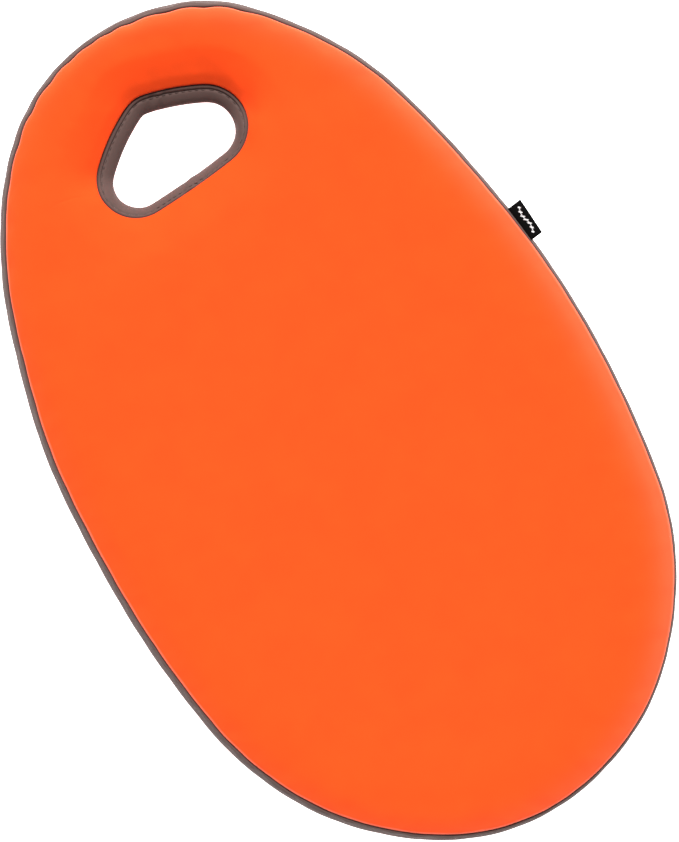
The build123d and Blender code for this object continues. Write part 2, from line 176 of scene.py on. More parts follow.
class Outline:
    """A closed clockwise outline of tangent arcs, each (centre, radius, first clock, sweep)."""

    def __init__(self, arcs):
        self.centres = np.array([arc[0] for arc in arcs])
        self.radii, self.starts, sweeps = np.array([arc[1:] for arc in arcs]).T
        self.marks = np.concatenate([[0], np.cumsum(self.radii * sweeps)])
        self.length = self.marks[-1]

    def at(self, along):
        """Points at distances along the outline, and the way square out from it there."""
        along = np.asarray(along) % self.length
        arc = np.clip(np.searchsorted(self.marks, along, side="right") - 1, 0, len(self.radii) - 1)
        out = facing(self.starts[arc] + (along - self.marks[arc]) / self.radii[arc])
        return self.centres[arc] + self.radii[arc][..., None] * out, out


def egg_outline():
    """The pad's outline: four arcs and a closing tail arc down one side, then the other."""
    nose = np.array([0, LENGTH / 2 - NOSE_RADIUS])
    shoulder = nose - facing(NOSE_SWEEP) * (SHOULDER_RADIUS - NOSE_RADIUS)
    turned = NOSE_SWEEP + SHOULDER_SWEEP
    side = shoulder - facing(turned) * (SIDE_RADIUS - SHOULDER_RADIUS)
    hip_start = turned + SIDE_SWEEP
    hip = side + facing(hip_start) * (SIDE_RADIUS - HIP_RADIUS)
    rise = hip[1] + LENGTH / 2
    tail_radius = (hip[0] ** 2 + rise**2 - HIP_RADIUS**2) / (2 * (rise - HIP_RADIUS))
    tail = np.array([0, tail_radius - LENGTH / 2])
    tail_start = clock_of(tail - hip)
    right = [
        (nose, NOSE_RADIUS, 0, NOSE_SWEEP),
        (shoulder, SHOULDER_RADIUS, NOSE_SWEEP, SHOULDER_SWEEP),
        (side, SIDE_RADIUS, turned, SIDE_SWEEP),
        (hip, HIP_RADIUS, hip_start, tail_start - hip_start),
        (tail, tail_radius, tail_start, pi - tail_start),
    ]
    left = [(c * [-1, 1], r, 2 * pi - start - sweep, sweep) for c, r, start, sweep in right[::-1]]
    return Outline(right + left)


def hole_outline():
    """The hand hole at its narrowest: three corners joined by bowed sides."""
    corners = [(np.array([x, y]), r) for x, y, r in HOLE_CORNERS]
    sides = []
    for (start, r1), (end, r2), bow in zip(corners, corners[1:] + corners[:1], HOLE_SIDE_RADII):
        apart = np.linalg.norm(end - start)
        along = (end - start) / apart
        reach = ((bow - r1) ** 2 - (bow - r2) ** 2 + apart**2) / (2 * apart)
        drop = sqrt((bow - r1) ** 2 - reach**2)
        sides.append(start + along * reach + np.array([along[1], -along[0]]) * drop)
    arcs = []
    for index, (corner, radius) in enumerate(corners):
        following = corners[(index + 1) % len(corners)][0]
        first = clock_of(corner - sides[index - 1])
        last = clock_of(corner - sides[index])
        beyond = clock_of(following - sides[index])
        arcs.append((corner, radius, first, (last - first) % (2 * pi)))
        arcs.append((sides[index], HOLE_SIDE_RADII[index], last, (beyond - last) % (2 * pi)))
    return Outline(arcs)


def rounded(along, radius, straight):
    """A rounded edge's section: how far back and up from the middle of its wall.

    along is the way up the section from the wall's middle, negative below it. Returns the
    distance back from the wall, the height, and the outward and upward parts of the normal.
    """
    up = np.abs(along)
    angle = np.clip((up - straight / 2) / radius, 0, pi / 2)
    beyond = np.maximum(up - straight / 2 - radius * pi / 2, 0)
    height = np.minimum(up, straight / 2) + radius * np.sin(angle)
    side = np.sign(along)
    return radius * (1 - np.cos(angle)) + beyond, side * height, np.cos(angle), side * np.sin(angle)


EGG = egg_outline()
HOLE = hole_outline()
MIDDLE = THICKNESS / 2
EDGE_SECTION, HOLE_SECTION = ((radius, THICKNESS - 2 * radius) for radius in (EDGE_ROUND, HOLE_ROUND))


def stations_from(outline, start, count):
    """Evenly spaced stations that begin at a chosen distance along an outline."""
    step = np.arange(count) * outline.length / count
    points, out = outline.at(step + start)
    return step, points, out


def nearest_along(outline, target):
    """The distance along an outline of the point nearest a plan position."""
    along = np.linspace(0, outline.length, 20000, endpoint=False)
    points, _ = outline.at(along)
    return along[np.argmin(np.linalg.norm(points - np.array(target), axis=1))]


def smooth_step(low, high, value):
    """0 at low, 1 at high, with eased ends."""
    t = np.clip((value - low) / (high - low), 0, 1)
    return t * t * (3 - 2 * t)


def plan_frame(outline, plan, count=3000):
    """For plan positions: distance outside an outline, distance along it, and the way out."""
    along = np.arange(count) * outline.length / count
    ring, out = outline.at(along)
    best = np.zeros(len(plan), dtype=int)
    for first in range(0, len(plan), 500):
        block = plan[first:first + 500]
        best[first:first + 500] = np.linalg.norm(ring[None] - block[:, None], axis=2).argmin(axis=1)
    away = plan - ring[best]
    return (away * out[best]).sum(axis=1), along[best], out[best]


# ---- the seams
def scallops(place):
    """How the edge seam swells between its tight stitches, 0 to 1, and how strongly.

    place is the distance along the pad's outline from the middle of the narrow end.
    """
    place = (np.asarray(place) + EGG.length / 2) % EGG.length - EGG.length / 2
    tight = np.array(TIGHT_STITCHES)
    phase = np.interp(place, tight, np.arange(len(tight)))
    phase += (np.minimum(place - tight[0], 0) + np.maximum(place - tight[-1], 0)) / LOOSE_PITCH
    strength = CALM + (1 - CALM) * smooth_step(CALM_FROM, LIVELY_TO, np.abs(place))
    return np.abs(np.sin(pi * phase)), strength


def edge_seams(place, out):
    """Distances up the section of the edge's upper and lower seams, both positive."""
    seams = []
    for side in (1, -1):
        shown = BAND_SHOWN + side * out @ BAND_LEAN + BAND_TWIST * 2 * out[:, 0] * out[:, 1]
        apart = (place - FULL_BAND + EGG.length / 2) % EGG.length - EGG.length / 2
        shown = shown + FULLNESS * np.exp(-((apart / FULL_REACH) ** 2))
        angle = np.arccos(1 - shown / EDGE_ROUND)
        swell, strength = scallops(place + LOWER_SHIFT * (side < 0))
        scallop = SCALLOP * strength * (swell - MEAN_SWELL)
        seams.append((MIDDLE - EDGE_ROUND) + EDGE_ROUND * angle - scallop)
    return seams


def uneven(place):
    """How far the stuffed edge stands out of its ideal outline."""
    share = place / EGG.length
    total = np.zeros_like(share)
    for centre, height, width in EDGE_SWELLS:
        apart = (share - centre + 0.5) % 1 - 0.5
        total += height * np.exp(-((apart / width) ** 2))
    return total


def hole_seams(_, out):
    """The same for the hand hole, where the two seams are alike and place makes no difference."""
    slope = pi / 2 - HOLE_SEAM_ANGLE
    grow, depth = HOLE_ROUND * (1 - cos(HOLE_SEAM_ANGLE)), HOLE_ROUND * (1 - sin(HOLE_SEAM_ANGLE))
    reach = grow - tan(slope) * depth + out @ HOLE_SEAM_CREEP
    angle = np.arccos(np.clip(cos(slope) * (1 - tan(slope) - reach / HOLE_ROUND), -1, 1)) - slope
    seam = (MIDDLE - HOLE_ROUND) + HOLE_ROUND * angle
    return [seam, seam]


# ---- the pinch at the hand hole
def pinch(plan):
    """How far each face of the pad is drawn in towards the middle near the hand hole."""
    away, _, out = plan_frame(HOLE, plan)
    fade = np.clip((away - PINCH_NEAR) / (PINCH_FAR - PINCH_NEAR), 0, 1) ** PINCH_BIAS
    share = PINCH_LEAST + (1 - PINCH_LEAST) * smooth_step(*PINCH_TURN, out @ PINCH_WAY)
    return PINCH * share * 0.5 * (1 + np.cos(pi * fade))


def pinched(points):
    """The same points once the cover's two faces are drawn together round the hole."""
    moved = points.copy()
    off = points[:, 2] - MIDDLE
    share = np.minimum(np.abs(off) / SEAM_HEIGHT, 1)
    moved[:, 2] = points[:, 2] - np.sign(off) * share * pinch(points[:, :2])
    return moved


# ---- the cover as one shell
TOP, BOTTOM, EDGE, HANDLE, SEAM = range(5)


class Shell:
    """The points and faces of the cover, gathered before they become a mesh."""

    def __init__(self):
        self.points, self.normals, self.pinned, self.sunk = [], [], [], []
        self.faces, self.uvs, self.pieces = [], [], []
        self.count = 0

    def add_points(self, points, normals, pinned):
        first = self.count
        self.points.append(points.reshape(-1, 3))
        self.normals.append(normals.reshape(-1, 3))
        self.pinned.append(pinned.reshape(-1))
        self.count += self.points[-1].shape[0]
        return first

    def add_face(self, corners, uvs, piece):
        self.faces.append(tuple(int(c) for c in corners))
        self.uvs.extend(uvs)
        self.pieces.append(piece)


def rows_between(seam_low, seam_high, ring, panel_rows, band_rows):
    """Heights up the section of every row, and the piece that each strip between them is in."""
    spread = np.linspace(0, 1, panel_rows) ** ROW_CROWDING
    up = [seam_high + PANEL_EDGE + (ring - seam_high - PANEL_EDGE) * f for f in spread]
    down = [-(seam_low + PANEL_EDGE + (ring - seam_low - PANEL_EDGE) * f) for f in spread]
    low_band = [-(seam_low - BAND_EDGE - step) for step in BAND_STEPS]
    high_band = [seam_high - BAND_EDGE - step for step in BAND_STEPS]
    across = np.linspace(0, 1, band_rows + 2)[1:-1]
    between = [low_band[-1] + (high_band[-1] - low_band[-1]) * f for f in across]
    band = low_band + between + high_band[::-1]
    rows = down[::-1] + [-seam_low] + band + [seam_high] + up
    strips = [BOTTOM] * (panel_rows - 1) + [SEAM] * 2 + ["band"] * (len(band) - 1)
    strips += [SEAM] * 2 + [TOP] * (panel_rows - 1)
    return np.array(rows), strips


def add_rim(shell, outline, start, count, seams, section, inward, ring_back, band_piece, rows):
    """Rows round an outline from the lower panel's ring over the side to the upper panel's.

    seams gives the two seams' places up the section, section is a radius and a straight
    wall, and inward is 1 where the pad lies inside the outline or -1 where it lies outside.
    Returns the two rings' point numbers and their plan.
    """
    radius, straight = section
    along, plan, out = stations_from(outline, start, count)
    seam_high, seam_low = seams(along + start, out)
    ring = straight / 2 + radius * pi / 2 + (ring_back - radius)
    heights, strips = rows_between(seam_low, seam_high, np.full(count, ring), *rows)
    back, up, cos_a, sin_a = rounded(heights, radius, straight)
    points = np.empty(heights.shape + (3,))
    points[..., :2] = plan[None] - inward * back[..., None] * out[None]
    if outline is EGG:
        fade = smooth_step(ring_back, UNEVEN_WITHIN, back)
        points[..., :2] += (fade * uneven((along + start) % EGG.length))[..., None] * out[None]
    points[..., 2] = MIDDLE + up
    normals = np.empty_like(points)
    normals[..., :2] = inward * cos_a[..., None] * out[None]
    normals[..., 2] = sin_a
    pinned = np.zeros(heights.shape)
    seam_rows = [k for k in range(1, len(strips)) if strips[k - 1] == SEAM or strips[k] == SEAM]
    pinned[seam_rows] = 1.0
    first = shell.add_points(points, normals, pinned)
    unrolled = plan[None] - inward * (ring_back - (ring - np.abs(heights)))[..., None] * out[None]
    for strip, piece in enumerate(strips):
        for j in range(count):
            k = (j + 1) % count
            corners = [(strip, j, j), (strip, k, j + 1), (strip + 1, k, j + 1), (strip + 1, j, j)]
            if piece == "band" or piece == SEAM:
                uv = [(s * outline.length / count, heights[r, c]) for r, c, s in corners]
            else:
                uv = [tuple(unrolled[r, c]) for r, c, _ in corners]
            named = band_piece if piece == "band" else piece
            shell.add_face([first + r * count + c for r, c, _ in corners], uv, named)
    low_ring = first + np.arange(count)
    high_ring = low_ring + len(strips) * count
    ditch = np.zeros(heights.shape)
    if outline is HOLE:
        beside = np.minimum(np.abs(heights - seam_high), np.abs(heights + seam_low))
        on_band = (heights < seam_high) & (heights > -seam_low)
        ditch = STITCH_DITCH * np.exp(-(((beside - STITCH_FROM_SEAM) / DITCH_WIDTH) ** 2)) * on_band
        for place, width, depth in BAND_CREASES:
            apart = (along - place + outline.length / 2) % outline.length - outline.length / 2
            slant = apart[None] - heights * CREASE_SLANT
            fade = smooth_step(0, CREASE_FADE, np.abs(heights))
            ditch += depth * np.exp(-((slant / width) ** 2)) * on_band * fade
    shell.sunk.append(ditch.reshape(-1))
    return low_ring, high_ring, points[0, :, :2]


def inside(polygon, points):
    """Which points are inside a closed polygon, by counting crossings."""
    x, y = points[:, 0, None], points[:, 1, None]
    x1, y1 = polygon[:, 0], polygon[:, 1]
    x2, y2 = np.roll(x1, -1), np.roll(y1, -1)
    crosses = (y1 > y) != (y2 > y)
    with np.errstate(divide="ignore", invalid="ignore"):
        at = x1 + (y - y1) * (x2 - x1) / (y2 - y1)
    return (crosses & (x < at)).sum(axis=1) % 2 == 1


def fill_between(edge_plan, hole_plan):
    """A grid of points between two closed runs, and triangles that join it all."""
    across, up = (np.arange(-reach, reach + 0.1, GRID_PITCH) for reach in GRID_REACH)
    grid = np.stack(np.meshgrid(across, up), axis=-1).reshape(-1, 2)
    grid = grid[inside(edge_plan, grid) & ~inside(hole_plan, grid)]
    rings = np.vstack([edge_plan, hole_plan])
    near = np.array([np.linalg.norm(rings - g, axis=1).min() for g in grid])
    grid = grid[near > GRID_CLEARANCE]
    plan = np.vstack([rings, grid])
    n_edge, n_ring = len(edge_plan), len(rings)
    borders = [(i, (i + 1) % n_edge) for i in range(n_edge)]
    borders += [(n_edge + i, n_edge + (i + 1) % (n_ring - n_edge)) for i in range(n_ring - n_edge)]
    _, _, triangles, originals, _, _ = delaunay_2d_cdt([Vector(p) for p in plan], borders, [], 0, 1e-6)
    first_of = [kept[0] for kept in originals]
    triangles = np.array([[first_of[v] for v in t] for t in triangles])
    centres = plan[triangles].mean(axis=1)
    return grid, triangles[inside(edge_plan, centres) & ~inside(hole_plan, centres)]


def add_middle(shell, edge_ring, hole_ring):
    """The flat middles of both panels, a grid joined to the rims' rings by triangles."""
    grid, triangles = fill_between(edge_ring[2], hole_ring[2])
    plan = np.vstack([edge_ring[2], hole_ring[2], grid])
    for side, piece, pick in ((1, TOP, 1), (-1, BOTTOM, 0)):
        points = np.column_stack([grid, np.full(len(grid), MIDDLE + side * MIDDLE)])
        normals = np.tile([0.0, 0.0, side], (len(grid), 1))
        first = shell.add_points(points, normals, np.zeros(len(grid)))
        shell.sunk.append(np.zeros(len(grid)))
        index = np.concatenate([edge_ring[pick], hole_ring[pick], first + np.arange(len(grid))])
        for t in triangles:
            shell.add_face(index[t], [tuple(plan[v]) for v in t], piece)


def cover_shell():
    """The whole cover: a rim at the edge, a rim at the hand hole, and the middles between."""
    shell = Shell()
    edge_start = NOSE_RADIUS * EDGE_JOIN_CLOCK
    hole_start = nearest_along(HOLE, HOLE_JOIN_PLAN)
    edge_ring = add_rim(
        shell, EGG, edge_start, EDGE_STATIONS, edge_seams,
        EDGE_SECTION, 1, EDGE_RING, EDGE, (PANEL_ROWS, BAND_ROWS),
    )
    hole_ring = add_rim(
        shell, HOLE, hole_start, HOLE_STATIONS, hole_seams,
        HOLE_SECTION, -1, HOLE_RING, HANDLE, (HOLE_PANEL_ROWS, HOLE_BAND_ROWS),
    )
    add_middle(shell, edge_ring, hole_ring)
    return shell


def placed(name, data):
    """A new object in the scene."""
    obj = bpy.data.objects.new(name, data)
    bpy.context.scene.collection.objects.link(obj)
    return obj


def mesh_object(name, points, faces, corner_uvs=None):
    """A new object from points in millimetres, with a UV for each face corner."""
    mesh = bpy.data.meshes.new(name)
    mesh.from_pydata((np.asarray(points) * MM).tolist(), [], faces)
    if corner_uvs is not None:
        layer = mesh.uv_layers.new(name="cloth")
        layer.data.foreach_set("uv", np.asarray(corner_uvs, dtype=np.float32).ravel())
    return placed(name, mesh)


def thicken(obj, thickness, offset):
    """Give an open sheet its thickness, in or both ways."""
    solid = obj.modifiers.new("Thickness", "SOLIDIFY")
    solid.thickness = thickness * MM
    solid.offset = offset


def positions(mesh):
    found = np.empty(len(mesh.vertices) * 3)
    mesh.vertices.foreach_get("co", found)
    return found.reshape(-1, 3) / MM


def set_positions(mesh, points):
    mesh.vertices.foreach_set("co", (points * MM).ravel())
    mesh.update()


def blow_up(obj, pinned):
    """Cloth under a little pressure, held at its seams. Returns where each point goes."""
    group = obj.vertex_groups.new(name="seams")
    group.add([int(i) for i in np.flatnonzero(pinned)], 1.0, "REPLACE")
    cloth = obj.modifiers.new("Cloth", "CLOTH")
    for name, value in CLOTH_SETTINGS.items():
        setattr(cloth.settings, name, value)
    cloth.settings.effector_weights.gravity = 0
    cloth.collision_settings.use_collision = False
    cloth.point_cache.frame_start = 1
    cloth.point_cache.frame_end = CLOTH_FRAMES
    scene = bpy.context.scene
    scene.frame_start = 1
    scene.frame_end = CLOTH_FRAMES
    for number in range(1, CLOTH_FRAMES + 1):
        scene.frame_set(number)
    graph = bpy.context.evaluated_depsgraph_get()
    blown = positions(obj.evaluated_get(graph).to_mesh())
    obj.modifiers.remove(cloth)
    scene.frame_set(1)
    return blown


def shape_cover():
    """The cover's mesh: the shell, blown up, dressed with its folds and subdivided once."""
    shell = cover_shell()
    points = pinched(np.concatenate(shell.points))
    normals = np.concatenate(shell.normals)
    pinned = np.concatenate(shell.pinned)
    obj = mesh_object("cover", points, shell.faces, shell.uvs)
    obj.data.attributes.new("piece", "INT", "FACE").data.foreach_set("value", shell.pieces)
    turn_outward(obj)
    moved = blow_up(obj, pinned) - points
    far = np.linalg.norm(moved, axis=1, keepdims=True)
    loose = np.where(np.abs(points[:, 2] - MIDDLE) < BAND_HALF, BAND_LOOSE, 1.0)[:, None]
    points = points + loose * moved * (CLOTH_CAP * np.tanh(far / CLOTH_CAP) / np.maximum(far, 1e-9))
    sunk = np.concatenate(shell.sunk)
    points = points + normals * (dress(points, normals) - sunk)[:, None]
    points[:, 2] = np.maximum(points[:, 2], 0)
    set_positions(obj.data, points)
    divide = obj.modifiers.new("Subdivision", "SUBSURF")
    divide.levels = divide.render_levels = 1
    divide.uv_smooth = "NONE"
    divide.boundary_smooth = "PRESERVE_CORNERS"
    graph = bpy.context.evaluated_depsgraph_get()
    fine = bpy.data.meshes.new_from_object(obj.evaluated_get(graph))
    bpy.data.objects.remove(obj)
    even_out(fine)
    return fine


def even_out(mesh):
    """Smooth the heights of both panels' middles, away from the seams."""
    points = positions(mesh)
    edges = np.empty(len(mesh.edges) * 2, dtype=int)
    mesh.edges.foreach_get("vertices", edges)
    a, b = edges.reshape(-1, 2).T
    links = np.bincount(np.concatenate([a, b]), minlength=len(points))
    beyond, _, _ = plan_frame(EGG, points[:, :2])
    away, _, _ = plan_frame(HOLE, points[:, :2])
    free = smooth_step(*SMOOTH_EDGE, -beyond) * smooth_step(*SMOOTH_HOLE, away)
    height = points[:, 2]
    for _ in range(SMOOTHINGS):
        total = np.bincount(a, height[b], len(points)) + np.bincount(b, height[a], len(points))
        height = height + free * (total / links - height)
    points[:, 2] = height
    set_positions(mesh, points)


def turn_outward(obj):
    """Make every face look out of the closed shell."""
    bm = bmesh.new()
    bm.from_mesh(obj.data)
    bmesh.ops.recalc_face_normals(bm, faces=bm.faces)
    bm.to_mesh(obj.data)
    bm.free()


def dress(points, normals):
    """How far each point of the shell stands out of or sinks into the smooth cover."""
    plan = points[:, :2]
    beyond, along, _ = plan_frame(EGG, plan)
    upper = np.where(normals[:, 2] >= 0, 1.0, 0.0)
    swell, strength = scallops(along)
    beside_seam = np.exp(-((np.maximum(-beyond, 0) - TUCK_PLACE) / TUCK_REACH) ** 2)
    tucks = TUCK * strength * (1 - swell) ** 2 * beside_seam
    x, y = plan.T
    slow = np.sin(x / 21.0 + 1.3 * np.sin(y / 47.0)) * np.sin(y / 33.0 + 0.8)
    quick = np.sin(x / 13.0 - y / 17.0 + 2.0) * np.sin(y / 29.0 + x / 41.0)
    return (tucks + SLOW_RIPPLE * slow + QUICK_RIPPLE * quick) * upper


def boundary_loops(bm):
    """The open edges of a mesh as ordered closed runs of vertices."""
    loops, seen = [], set()
    for edge in bm.edges:
        if len(edge.link_faces) != 1 or edge in seen:
            continue
        loop, here, line = [], edge.verts[0], edge
        while line not in seen:
            seen.add(line)
            loop.append((here, line))
            here = line.other_vert(here)
            line = next((e for e in here.link_edges if len(e.link_faces) == 1 and e not in seen), line)
        loops.append(loop)
    return loops


def cut_piece(fine, name, piece, roll):
    """One piece of the cover, with its raw edges rolled and turned in at its seams."""
    bm = bmesh.new()
    bm.from_mesh(fine)
    layer = bm.faces.layers.int.get("piece")
    uv = bm.loops.layers.uv.active
    bmesh.ops.delete(bm, geom=[f for f in bm.faces if f[layer] != piece], context="FACES")
    bm.normal_update()
    # per point shares of painted shade inside each seam's fold and of painted sheen over it and towards
    # the panels' edge
    fold, rim = bm.verts.layers.float.new("fold"), bm.verts.layers.float.new("rim")
    if piece in (TOP, BOTTOM):
        beyond, _, out = plan_frame(EGG, np.array([v.co[:2] for v in bm.verts]) / MM)
        edge_sheen = EDGE_PAINTED_SHEEN * (0.6 + 0.45 * out @ PAINTED_SHEEN_WAY) * np.exp(-((beyond / PAINTED_SHEEN_REACH) ** 2))
        for vert, amount in zip(bm.verts, edge_sheen):
            vert[rim] = amount
    steps = [(roll * sin(a), roll * (1 - cos(a)), roll * a) for a in np.linspace(0, pi / 2, 5)[1:]]
    for extra in TURNED_IN_ROWS:
        steps.append((roll, roll + TURNED_IN * extra, roll * pi / 2 + TURNED_IN * extra))
    for loop in boundary_loops(bm):
        frames = {}
        for k, (vert, line) in enumerate(loop):
            before, after = loop[k - 1][0], loop[(k + 1) % len(loop)][0]
            along = (after.co - before.co).normalized()
            across = along.cross(vert.normal).normalized()
            face = line.link_faces[0]
            if across.dot(face.calc_center_median() - vert.co) > 0:
                across = -across
            frames[vert] = (across, vert.normal.copy())
        rings = [{vert: vert for vert, _ in loop}]
        outer = 1.0 if len(loop) > 2 * HOLE_STATIONS else 0.0  # only the outer seams' rims are pale
        for vert, _ in loop:
            vert[fold], vert[rim] = FOLD_PAINTED_SHADE[0], outer * RIM_PAINTED_SHEEN[0]
        # each row's share of painted shade (dark) and of painted sheen
        for (out, deep, _), dark, painted_sheen_share in zip(steps, FOLD_PAINTED_SHADE[1:], RIM_PAINTED_SHEEN[1:]):
            ring = {}
            for vert, _ in loop:
                across, normal = frames[vert]
                ring[vert] = bm.verts.new(vert.co + across * out * MM - normal * deep * MM)
                ring[vert][fold], ring[vert][rim] = dark, outer * painted_sheen_share
            rings.append(ring)
        for vert, line in loop:
            corner = next(l for l in line.link_loops)
            first, second = corner.vert, corner.link_loop_next.vert
            uv_first, uv_second = corner[uv].uv.copy(), corner.link_loop_next[uv].uv.copy()
            middle = Vector((0, 0))
            for l in corner.face.loops:
                middle += l[uv].uv / len(corner.face.loops)
            side = (uv_second - uv_first).orthogonal().normalized()
            if side.dot(middle - uv_first) > 0:
                side = -side
            reach = [0.0] + [far for _, _, far in steps]
            for k in range(len(steps)):
                quad = (rings[k][second], rings[k][first], rings[k + 1][first], rings[k + 1][second])
                face = bm.faces.new(quad)
                face.smooth = True
                for l, base, far in zip(face.loops, (uv_second, uv_first, uv_first, uv_second),
                                        (reach[k], reach[k], reach[k + 1], reach[k + 1])):
                    l[uv].uv = base + side * far
    for face in bm.faces:
        face.smooth = True
    mesh = bpy.data.meshes.new(name)
    bm.to_mesh(mesh)
    bm.free()
    obj = placed(name, mesh)
    thicken(obj, CLOTH, -1)
    return obj


# ---- materials
class Paint:
    """A material built from a few nodes."""

    def __init__(self, name, colour, roughness, sheen=0.0, sheen_tint=(1, 1, 1)):
        self.material = bpy.data.materials.new(name)
        self.material.use_nodes = True
        self.tree = self.material.node_tree
        self.shader = self.tree.nodes["Principled BSDF"]
        for socket, value in (
            ("Base Color", (*colour, 1)), ("Roughness", roughness), ("Specular IOR Level", 0.25),
            ("Sheen Weight", sheen), ("Sheen Tint", (*sheen_tint, 1)), ("Sheen Roughness", 0.3),
        ):
            self.shader.inputs[socket].default_value = value

    def node(self, kind, **settings):
        found = self.tree.nodes.new(kind)
        for key, value in settings.items():
            setattr(found, key, value)
        return found

    def link(self, source, target):
        self.tree.links.new(source, target)

    def math(self, operation, *values):
        """A Math node fed with sockets or numbers. Returns its output."""
        found = self.node("ShaderNodeMath", operation=operation)
        for socket, value in zip(found.inputs, values):
            if isinstance(value, (int, float)):
                socket.default_value = value
            else:
                self.link(value, socket)
        return found.outputs[0]

    def cloth_coordinates(self):
        """The two UV coordinates, in millimetres of flat cloth."""
        source = self.node("ShaderNodeUVMap", uv_map="cloth")
        parts = self.node("ShaderNodeSeparateXYZ")
        self.link(source.outputs[0], parts.inputs[0])
        return parts.outputs[0], parts.outputs[1]

    def object_noise(self, scale, detail=2.0):
        source = self.node("ShaderNodeTexCoord")
        noise = self.node("ShaderNodeTexNoise")
        noise.inputs["Scale"].default_value = scale
        noise.inputs["Detail"].default_value = detail
        self.link(source.outputs["Object"], noise.inputs["Vector"])
        return noise.outputs["Fac"]

    def tint(self, fac, dark, light, low=0.3, high=0.7):
        """Colour from dark to light as fac goes from low to high."""
        ramp = self.node("ShaderNodeValToRGB")
        for end, place, colour in ((0, low, dark), (1, high, light)):
            ramp.color_ramp.elements[end].position = place
            ramp.color_ramp.elements[end].color = (*colour, 1)
        self.link(fac, ramp.inputs[0])
        return ramp.outputs[0]

    def mixed(self, fac, first, second):
        """A mix of two colours, each a socket or three numbers."""
        mix = self.node("ShaderNodeMix", data_type="RGBA")
        self.link(fac, mix.inputs[0])
        for index, value in ((6, first), (7, second)):
            if isinstance(value, tuple):
                mix.inputs[index].default_value = (*value, 1)
            else:
                self.link(value, mix.inputs[index])
        return mix.outputs[2]

    def colour(self, socket):
        self.link(socket, self.shader.inputs["Base Color"])

    def bump(self, height, strength, distance):
        bump = self.node("ShaderNodeBump")
        bump.inputs["Strength"].default_value = strength
        bump.inputs["Distance"].default_value = distance
        self.link(height, bump.inputs["Height"])
        self.link(bump.outputs[0], self.shader.inputs["Normal"])

    def crease(self, middle, turn, half, bow, deep):
        """A faint bowed crease across the cloth, as a depth."""
        math = self.math
        source = self.node("ShaderNodeTexCoord")
        place = self.node("ShaderNodeVectorRotate", rotation_type="Z_AXIS")
        place.inputs["Center"].default_value = (middle[0] * MM, middle[1] * MM, 0)
        place.inputs["Angle"].default_value = -turn
        self.link(source.outputs["Object"], place.inputs["Vector"])
        parts = self.node("ShaderNodeSeparateXYZ")
        self.link(place.outputs[0], parts.inputs[0])
        along = math("DIVIDE", math("SUBTRACT", parts.outputs[0], middle[0] * MM), half * MM)
        across = math("SUBTRACT", parts.outputs[1], middle[1] * MM)
        across = math("DIVIDE", across, CREASE_WIDTH * MM)
        squared = math("MULTIPLY", along, along)
        off = math("SUBTRACT", across, math("MULTIPLY", squared, bow))
        spread = math("MULTIPLY_ADD", off, off, math("MULTIPLY", squared, squared))
        return math("MULTIPLY", math("EXPONENT", math("MULTIPLY", spread, -1.0)), deep)

    def knit(self, pitch):
        """Stockinette: columns of V stitches, as a height from 0 to 1."""
        math = self.math
        u, v = self.cloth_coordinates()
        column = math("ABSOLUTE", math("SINE", math("MULTIPLY", u, pi / pitch)))
        slant = math("MULTIPLY", column, 0.45)
        course = math("MULTIPLY", math("ADD", math("DIVIDE", v, pitch * 0.8), slant), 2 * pi)
        stitch = math("MULTIPLY_ADD", math("SINE", course), 0.5, 0.5)
        return math("MULTIPLY", math("MULTIPLY_ADD", stitch, 0.6, 0.4), column)


def shaded(colour, amount):
    """A colour made darker or lighter."""
    return tuple(c * amount for c in colour)


def cloth_paint(name, colour, rim, deep, roughness, sheen, sheen_tint, crease=None):
    """Knit cloth, with a painted sheen over a seam's fold and towards a panel's edge, and painted shade
    inside the fold.
    """
    paint = Paint(name, colour, roughness, sheen, sheen_tint)
    height = paint.knit(KNIT_PITCH)
    noise = paint.object_noise(MOTTLE_SCALE, 3.0)
    mottle = paint.math("MULTIPLY_ADD", noise, 0.8, paint.math("MULTIPLY", height, 0.25))
    body = paint.tint(mottle, shaded(colour, 0.94), shaded(colour, 1.04), 0.3, 0.75)
    # painted shade inside the seams' folds, painted sheen over them and near the panels' edge
    fold = paint.node("ShaderNodeAttribute", attribute_name="fold").outputs["Fac"]
    painted_sheen_share = paint.node("ShaderNodeAttribute", attribute_name="rim").outputs["Fac"]
    paint.colour(paint.mixed(fold, paint.mixed(painted_sheen_share, body, rim), deep))
    if crease:
        height = paint.math("SUBTRACT", height, paint.crease(*crease))
    fuzz = paint.math("MULTIPLY_ADD", paint.object_noise(FUZZ_SCALE, 1.0), 0.5, height)
    paint.bump(fuzz, KNIT_BUMP, FINE)
    return paint.material


def foam_paint(name, dark, light, cell):
    """Foam whose cells are so many millimetres across."""
    paint = Paint(name, light, 0.9)
    noise = paint.object_noise(1 / (cell * MM), 3.0)
    paint.colour(paint.tint(noise, dark, light, 0.35, 0.6))
    paint.bump(noise, 0.4, 0.0003)
    return paint.material


def thread_paint(name, colour):
    paint = Paint(name, colour, 0.55, 0.2)
    noise = paint.object_noise(FIBRE_SCALE, 2.0)
    paint.colour(paint.tint(noise, shaded(colour, 0.7), shaded(colour, 1.15)))
    paint.bump(noise, 0.3, FINE)
    return paint.material


